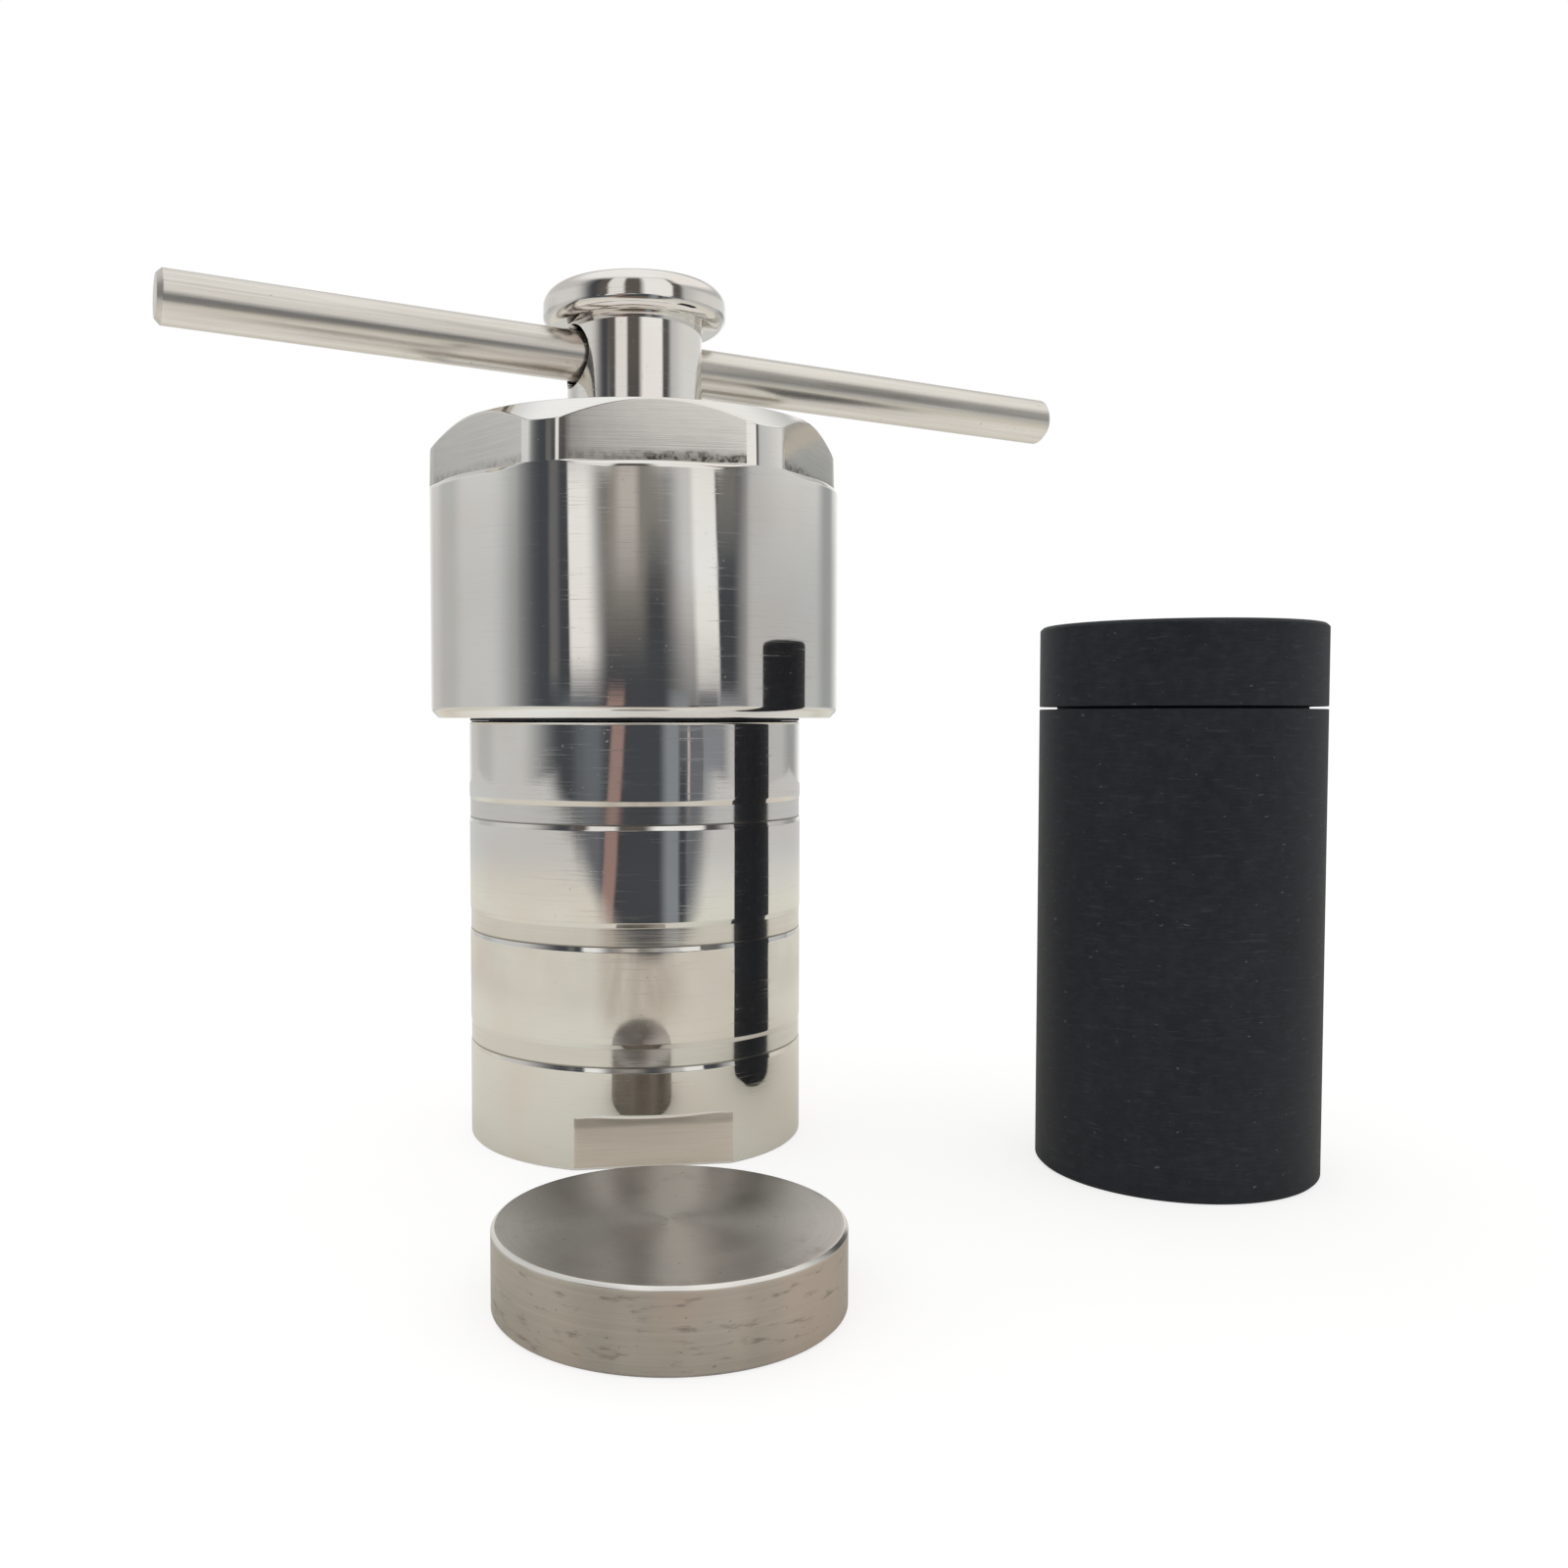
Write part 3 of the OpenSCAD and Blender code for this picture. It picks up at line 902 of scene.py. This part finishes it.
# ---------------------------------------------------------------- pressure screw
def headed_screw():
    """The whole screw before its cross hole is cut. The neck has close rows, so that the cut is clean."""
    root = SCREW_THREAD_R - THREAD_DEPTH
    neck = [(NECK_R, NECK_FOOT + (k + 1) * NECK_ROW, 0) for k in range(NECK_ROWS)]
    corners = [
        (0, TIP_END, 0),
        (TIP_R - TIP_CHAMFER, TIP_END, 0.2),
        (TIP_R, TIP_END + TIP_CHAMFER, 0.2),
        (TIP_R, GROOVE[0], 0.1),
        (TIP_GROOVE_R, GROOVE[0], 0.1),
        (TIP_GROOVE_R, GROOVE[1], 0.1),
        (TIP_R, GROOVE[1], 0.1),
        (TIP_R, SCREW_END, 0.2),
        (root, SCREW_END, 0.3),
        (root, NECK_FOOT, 0.2),
        (NECK_R - NECK_CHAMFER, NECK_FOOT, 0.2),
        *neck,
        (NECK_R, HEAD_FOOT, 0.6),
        (HEAD_R, HEAD_FOOT, HEAD_UNDER_ROUND),
        (HEAD_R, HEAD_TOP, HEAD_TOP_ROUND),
        (0, HEAD_TOP + HEAD_DOME, 0),
    ]
    return finished("headed_screw", lathed(corners, columns=180), [POLISHED])


def cross_hole():
    """The cutter: a round bar that widens a little where it leaves the neck on both sides."""
    reach = 2 * HEAD_R
    flare_end = NECK_R + 0.5
    flare_start = flare_end - CROSS_HOLE_FLARE_LENGTH
    flare_r = CROSS_HOLE_R + CROSS_HOLE_FLARE
    corners = [
        (0, -reach, 0),
        (flare_r, -reach, 0),
        (flare_r, -flare_end, 0),
        (CROSS_HOLE_R, -flare_start, 1.5),
        (CROSS_HOLE_R, flare_start, 1.5),
        (flare_r, flare_end, 0),
        (flare_r, reach, 0),
        (0, reach, 0),
    ]
    skin = lathed(corners, columns=96)
    lay = Matrix.Translation((0, 0, CROSS_HOLE_Z * MM)) @ Matrix.Rotation(math.radians(BAR_AZIMUTH), 4, "Z")
    bmesh.ops.transform(skin, matrix=lay @ Matrix.Rotation(math.pi / 2, 4, "Y"), verts=skin.verts)
    return finished("cross_hole_cutter", skin, [POLISHED])


def make_screw():
    screw = headed_screw()
    cutter = cross_hole()
    cut = screw.modifiers.new("cross_hole", "BOOLEAN")
    cut.operation = "DIFFERENCE"
    cut.solver = "EXACT"
    cut.object = cutter
    applied(screw)
    bpy.data.objects.remove(cutter)
    screw.data.set_sharp_from_angle(angle=SHARP_AFTER_CUT)
    screw.modifiers.new("true_faces", "WEIGHTED_NORMAL").keep_sharp = True
    fit(applied(screw), "screw", "pressure_screw")
    turns = math.floor((NECK_FOOT - SCREW_END - 1) / THREAD_PITCH)
    ridge = thread("screw_thread", SCREW_THREAD_R, SCREW_END + 0.5, turns, outward=True)
    fit(ridge, "screw")


# ---------------------------------------------------------------- pad, snap ring and washer
def make_pad():
    foot, top = PAD_HEIGHTS
    corners = [
        (0, foot, 0),
        (PAD_R - PAD_CHAMFER, foot, 0.3),
        (PAD_R, foot + PAD_CHAMFER, 0.3),
        (PAD_R, top - PAD_CHAMFER, 0.3),
        (PAD_R - PAD_CHAMFER, top, 0.3),
        (PAD_BORE_R + PAD_BORE_CHAMFER, top, 0.1),
        (PAD_BORE_R, top - PAD_BORE_CHAMFER, 0.1),
        (PAD_BORE_R, GROOVE[1], 0.05),
        (PAD_GROOVE_R, GROOVE[1], 0.1),
        (PAD_GROOVE_R, GROOVE[0], 0.1),
        (PAD_BORE_R, GROOVE[0], 0.05),
        (PAD_BORE_R, PAD_BORE_FLOOR, 0.2),
        (0, PAD_BORE_FLOOR, 0),
    ]
    pad = finished("pressure_pad", lathed(corners, columns=120), [TURNED])
    fit(pad, "pad", "swivel_pad")


def make_snap_ring():
    inner, outer, foot, top = (RING[key] for key in ("inner", "outer", "foot", "top"))
    ring = swept(
        "snap_ring",
        TURNED,
        radius=(inner + outer) / 2,
        foot=(foot + top) / 2,
        pitch=0,
        turns=1 - RING["opening"] / 360,
        depth=outer - inner,
        inner_width=top - foot,
        outer_width=top - foot,
    )
    fit(ring, "pad", "pad_snap_ring")


def make_washer():
    inner, outer, foot, top = (WASHER[key] for key in ("inner", "outer", "foot", "top"))
    corners = [(inner, foot, 0.1), (outer, foot, 0.1), (outer, top, 0.1), (inner, top, 0.1)]
    washer = finished("black_slip_ring", lathed(corners, columns=160, ring=True), [WASHER_BLACK])
    fit(washer, "washer", "slip_washer")


# ---------------------------------------------------------------- tommy bar, disc and liner
def make_bar():
    half = BAR_LENGTH / 2
    corners = [
        (0, -half, 0),
        (BAR_R - BAR_CHAMFER, -half, 0.15),
        (BAR_R, -half + BAR_CHAMFER, 0.2),
        (BAR_R, half - BAR_CHAMFER, 0.2),
        (BAR_R - BAR_CHAMFER, half, 0.15),
        (0, half, 0),
    ]
    skin = lathed(corners, columns=72)
    lay = Vector((0, 0, 1)).rotation_difference(BAR_AXIS).to_matrix().to_4x4()
    bmesh.ops.transform(skin, matrix=lay, verts=skin.verts)
    place = Vector((0, 0, BAR_Z * MM)) + BAR_AXIS * BAR_SHIFT * MM
    bar = finished("turning_bar", skin, [BAR_STEEL], place=place)
    fit(bar, "bar", "tommy_bar")


def make_disc():
    corners = [
        (0, 0, 0),
        (DISC_R - DISC_CHAMFER, 0, 0.2),
        (DISC_R, DISC_CHAMFER, 0.3),
        (DISC_R, DISC_T - DISC_CHAMFER, 0.2),
        (DISC_R - DISC_CHAMFER, DISC_T, 0.2),
        (0, DISC_T, 0),
    ]
    disc = finished("cover_disc", lathed(corners, columns=200), [DISC_STEEL], place=DISC_PLACE)
    fit(disc, "disc", "pressure_disc")


def make_liner():
    cup = [
        (0, 0, 0),
        (LINER_R - LINER_CHAMFER, 0, 0.3),
        (LINER_R, LINER_CHAMFER, 0.4),
        (LINER_R, CUP_H, 0.15),
        (RABBET_R, CUP_H, 0.15),
        (RABBET_R, RABBET_FLOOR, 0.2),
        (CUP_BORE_R, RABBET_FLOOR, 0.2),
        (CUP_BORE_R, CUP_FLOOR + CUP_FLOOR_CHAMFER, 2.0),
        (CUP_BORE_R - CUP_FLOOR_CHAMFER, CUP_FLOOR, 2.0),
        (0, CUP_FLOOR, 0),
    ]
    lid = [
        (0, PLUG_FOOT, 0),
        (PLUG_R - PLUG_CHAMFER, PLUG_FOOT, 0.4),
        (PLUG_R, PLUG_FOOT + PLUG_CHAMFER, 0.4),
        (PLUG_R, LID_STEP, 0.15),
        (LID_STEP_R, LID_STEP, 0.15),
        (LID_STEP_R, LID_FOOT, 0.15),
        (LINER_R, LID_FOOT, 0.15),
        (LINER_R, LID_TOP - LINER_CHAMFER, 0.4),
        (LINER_R - LINER_CHAMFER, LID_TOP, 0.4),
        (0, LID_TOP, 0),
    ]
    for name, corners, body, node in (
        ("liner_body", cup, "liner", "liner_cup"),
        ("liner_plug", lid, "plug", "liner_lid"),
    ):
        piece = finished(name, lathed(corners, columns=180), [LINER_BLACK], place=LINER_PLACE)
        fit(piece, body, node)


make_shell()
make_cap()
make_screw()
make_pad()
make_snap_ring()
make_washer()
make_bar()
make_disc()
make_liner()

# ---------------------------------------------------------------- studio
# The eye sees the table's paper, matt pieces get its bounce, and shiny pieces mirror its other colours.
WHITE = (1, 1, 1, 1)
PALE_GREY = (0.9, 0.9, 0.9, 1)
TABLE_PAPER = (0.36, 0.355, 0.35, 1)
TABLE_BOUNCE = (0.75, 0.73, 0.70, 1)
TABLE_PAPER_GLOW = 0.72
TABLE_MIRRORED_GLOW = 0.08
TABLE_HALF = 1.6
TABLE_NEAR = (0.775, 0.755, 0.67, 1)
TABLE_FAR = (0.628, 0.63, 0.622, 1)
TABLE_PINKER = (0.665, 0.62, 0.55, 1)
TABLE_SHADED = (0.40, 0.34, 0.28, 1)
TABLE_FROM_ABOVE = (0.97, 0.96, 0.93, 1)
ROOM = (0.062, 0.067, 0.075, 1)
EVERY_HEIGHT = (-91, -90, 120, 121)
HIGH = (9, 11.5, 46, 60)
LOW = (-91, -90, 0.4, 1.4)


def ray_kinds(tree):
    """1 for rays that come from the camera, and 1 for rays that a shiny surface sends out."""
    path = tree.node("ShaderNodeLightPath")
    shining = tree.maths("MAXIMUM", path.of("Is Glossy Ray"), path.of("Is Transmission Ray"))
    return path.of("Is Camera Ray"), shining


def studio_world():
    """A white room to the eye. What shines sees walls, windows and dark gaps, by direction."""
    world = bpy.data.worlds.new("studio")
    world.use_nodes = True
    bpy.context.scene.world = world
    studio = Finish("studio", world)
    x, y, z = studio.parts(studio.node("ShaderNodeTexCoord", output="Generated"))
    azimuth = studio.maths("ARCTAN2", x, 0 - y) * math.degrees(1)
    elevation = studio.maths("ARCSINE", z) * math.degrees(1)

    # Each panel: where it starts, is full, starts to fade and is gone, in degrees from the camera's side
    # towards +X, then the same for its height over the horizon, its colour, and its lean.
    panels = {
        "left wall": ((-231, -230, -84, -48), EVERY_HEIGHT, (0.61, 0.61, 0.60), 0),
        "left wall, upper part": ((-231, -230, -84, -52), (4, 14, 18, 32), (0.72, 0.72, 0.71), 0),
        "left corner": ((-142, -127, -118, -104), (-91, -90, 10, 18), (0.51, 0.52, 0.51), 0),
        "right wall": ((56, 70, 230, 231), EVERY_HEIGHT, (0.53, 0.535, 0.53), 0),
        "right wall, upper part": ((60, 100, 230, 231), (4, 12, 15, 24), (0.75, 0.745, 0.72), 0),
        "right corner": ((120, 135, 141, 152), (-91, -90, 9, 14), (0.36, 0.37, 0.36), 0),
        "white cloth behind": ((146, 168, 192, 214), (-91, -90, 28, 38), (1.0, 1.0, 0.99), 0),
        "white cloth behind, left": ((-214, -192, -168, -146), (-91, -90, 28, 38), (1.0, 1.0, 0.99), 0),
        "dim upper part": ((-50, -36, 56, 66), (11, 14, 44, 58), (0.115, 0.105, 0.095), 0),
        "grey post": ((-45.5, -43, -41, -37), (0.5, 2, 12, 16), (0.15, 0.15, 0.15), 0),
        "haze in the middle": ((-19, -10, 4, 12), (1, 7, 10, 12), (0.28, 0.265, 0.24), 0),
        "haze in the middle, right": ((3, 7, 15, 22), (4, 9, 10, 12), (0.25, 0.24, 0.22), 0),
        "dim corner": ((45, 49, 56, 64), (5, 9, 10, 12), (0.19, 0.19, 0.18), 0),
        "pale middle": ((-11, -4, 1, 6), (3.5, 9, 10, 12), (0.52, 0.49, 0.455), 0),
        "left window": ((-32.5, -29.5, -23, -10), (-0.4, 3.2, 9, 12), (0.90, 0.89, 0.87), -0.25),
        "left window, upper part": ((-33, -27, -13, -7), HIGH, (0.84, 0.83, 0.81), 0),
        "right window, curtain": ((17, 34, 49, 51), (-3, 7, 9, 12), (0.62, 0.62, 0.61), -0.45),
        "right window": ((34.5, 39, 49, 51), (-1.5, 4.5, 9, 12), (0.90, 0.90, 0.88), -0.45),
        "right window, upper part": ((7, 18, 48, 53), HIGH, (0.93, 0.92, 0.90), 0),
        "ceiling": ((-231, -230, 230, 231), (42, 62, 120, 121), (0.97, 0.97, 0.96), 0),
        "ceiling, right": ((48, 68, 138, 160), (27, 40, 120, 121), (0.95, 0.94, 0.91), 0),
        "brown floor": ((-80, -60, 90, 110), (-91, -90, -16, -9), (0.15, 0.12, 0.10), 0),
        "blue cloth": ((-46, -27, -24, -15), LOW, (0.14, 0.153, 0.17), 0),
        "wooden post": ((-14, -11.5, -5.4, -2.8), LOW, (0.33, 0.225, 0.20), 1.1),
        "pale post": ((17, 25, 30, 33), LOW, (0.245, 0.265, 0.285), 0),
        "dim shelf": ((35, 38, 47, 49), LOW, (0.15, 0.16, 0.175), 0),
        "thin rod": ((37.1, 37.8, 38.8, 39.6), (-3.6, -3.2, -0.6, 0), (0.50, 0.42, 0.42), 0),
        "pale shelf": ((47.5, 49.5, 62, 68), LOW, (0.25, 0.26, 0.28), 0),
    }
    light = ROOM
    for sides, heights, colour, lean in panels.values():
        across = azimuth - elevation * lean if lean else azimuth
        inside = studio.hump(across, *sides) * studio.hump(elevation, *heights)
        light = studio.blend(inside, light, (*colour, 1))
    to_eye, shining = ray_kinds(studio)
    seen = studio.blend(shining, PALE_GREY, light)
    seen = studio.blend(to_eye, seen, WHITE)
    backdrop = studio.node("ShaderNodeBackground", {}, {"Color": seen, "Strength": 1.0})
    studio.node("ShaderNodeOutputWorld", {}, {"Surface": backdrop})


def table_top():
    skin = bmesh.new()
    sides = ((-1, -1), (1, -1), (1, 1), (-1, 1))
    skin.faces.new([skin.verts.new((x * TABLE_HALF, y * TABLE_HALF, 0)) for x, y in sides])
    mesh = bpy.data.meshes.new("table_top")
    skin.to_mesh(mesh)
    skin.free()
    table = bpy.data.objects.new("table_top", mesh)
    bpy.context.collection.objects.link(table)
    return table


def white_table():
    """White to the eye. Reflected, it is cream nearby and grey farther off, and has a front edge."""
    paper = Finish("white_table")
    place = paper.node("ShaderNodeTexCoord", output="Object")
    x, y, _ = paper.parts(place)
    away = paper.from_axis(x, y)
    front = 0 - y

    # The front edge is three straight stretches, in metres before the vessel. Past it the table is clear.
    left_stretches = paper.maths("MINIMUM", 0.29 - x * 0.77, 0.40 - x * 0.45)
    edge = paper.maths("MAXIMUM", left_stretches, 0.14 + x * 0.64)
    past_edge = paper.step((front - edge) / away, -0.17, 0.17) * paper.step(front, 0.25, 0.3)

    streaks = paper.step(paper.noise(paper.stretched(place, (30, 9, 1)), 1.0, 3.0), 0.25, 0.6, 0.55, 1.0)
    shade = paper.hump(x / front, -0.5, -0.22, 0.26, 0.8) * paper.step(front, 0.12, 0.2) * streaks
    patches = paper.step(paper.noise(place, 6, 2.0), 0.35, 0.6, 0.5, 1.0)
    pinker = paper.hump(away, 0.15, 0.21, 0.28, 0.42) * patches
    tint = paper.blend(paper.step(away, 0.35, 0.72), TABLE_NEAR, TABLE_FAR)
    tint = paper.blend(pinker * 0.75, tint, TABLE_PINKER)
    tint = paper.blend(shade * 0.6, tint, TABLE_SHADED)

    # The paper's sheen takes the room's tints at a slant, and is gone where the paper is met steeply.
    slant = paper.node("ShaderNodeLayerWeight", {}, {"Blend": 0.5}, output="Facing")
    steep = paper.step(1 - slant, 0.35, 0.9)
    sheen = paper.lit(tint, tint, TABLE_MIRRORED_GLOW)
    plain = paper.lit(TABLE_FROM_ABOVE, TABLE_FROM_ABOVE, TABLE_MIRRORED_GLOW)
    clear = paper.node("ShaderNodeBsdfTransparent")
    mirrored = paper.mixed(past_edge, paper.mixed(steep, sheen, plain), clear)
    bounce = paper.node("ShaderNodeBsdfDiffuse", {}, {"Color": TABLE_BOUNCE})
    seen = paper.lit(TABLE_PAPER, WHITE, TABLE_PAPER_GLOW)
    to_eye, shining = ray_kinds(paper)
    surface = paper.mixed(to_eye, paper.mixed(shining, bounce, mirrored), seen)
    paper.node("ShaderNodeOutputMaterial", {}, {"Surface": surface})
    return paper.material


def studio_table():
    table = table_top()
    table.data.materials.append(white_table())


studio_world()
studio_table()
bpy.context.scene.view_settings.view_transform = "Standard"
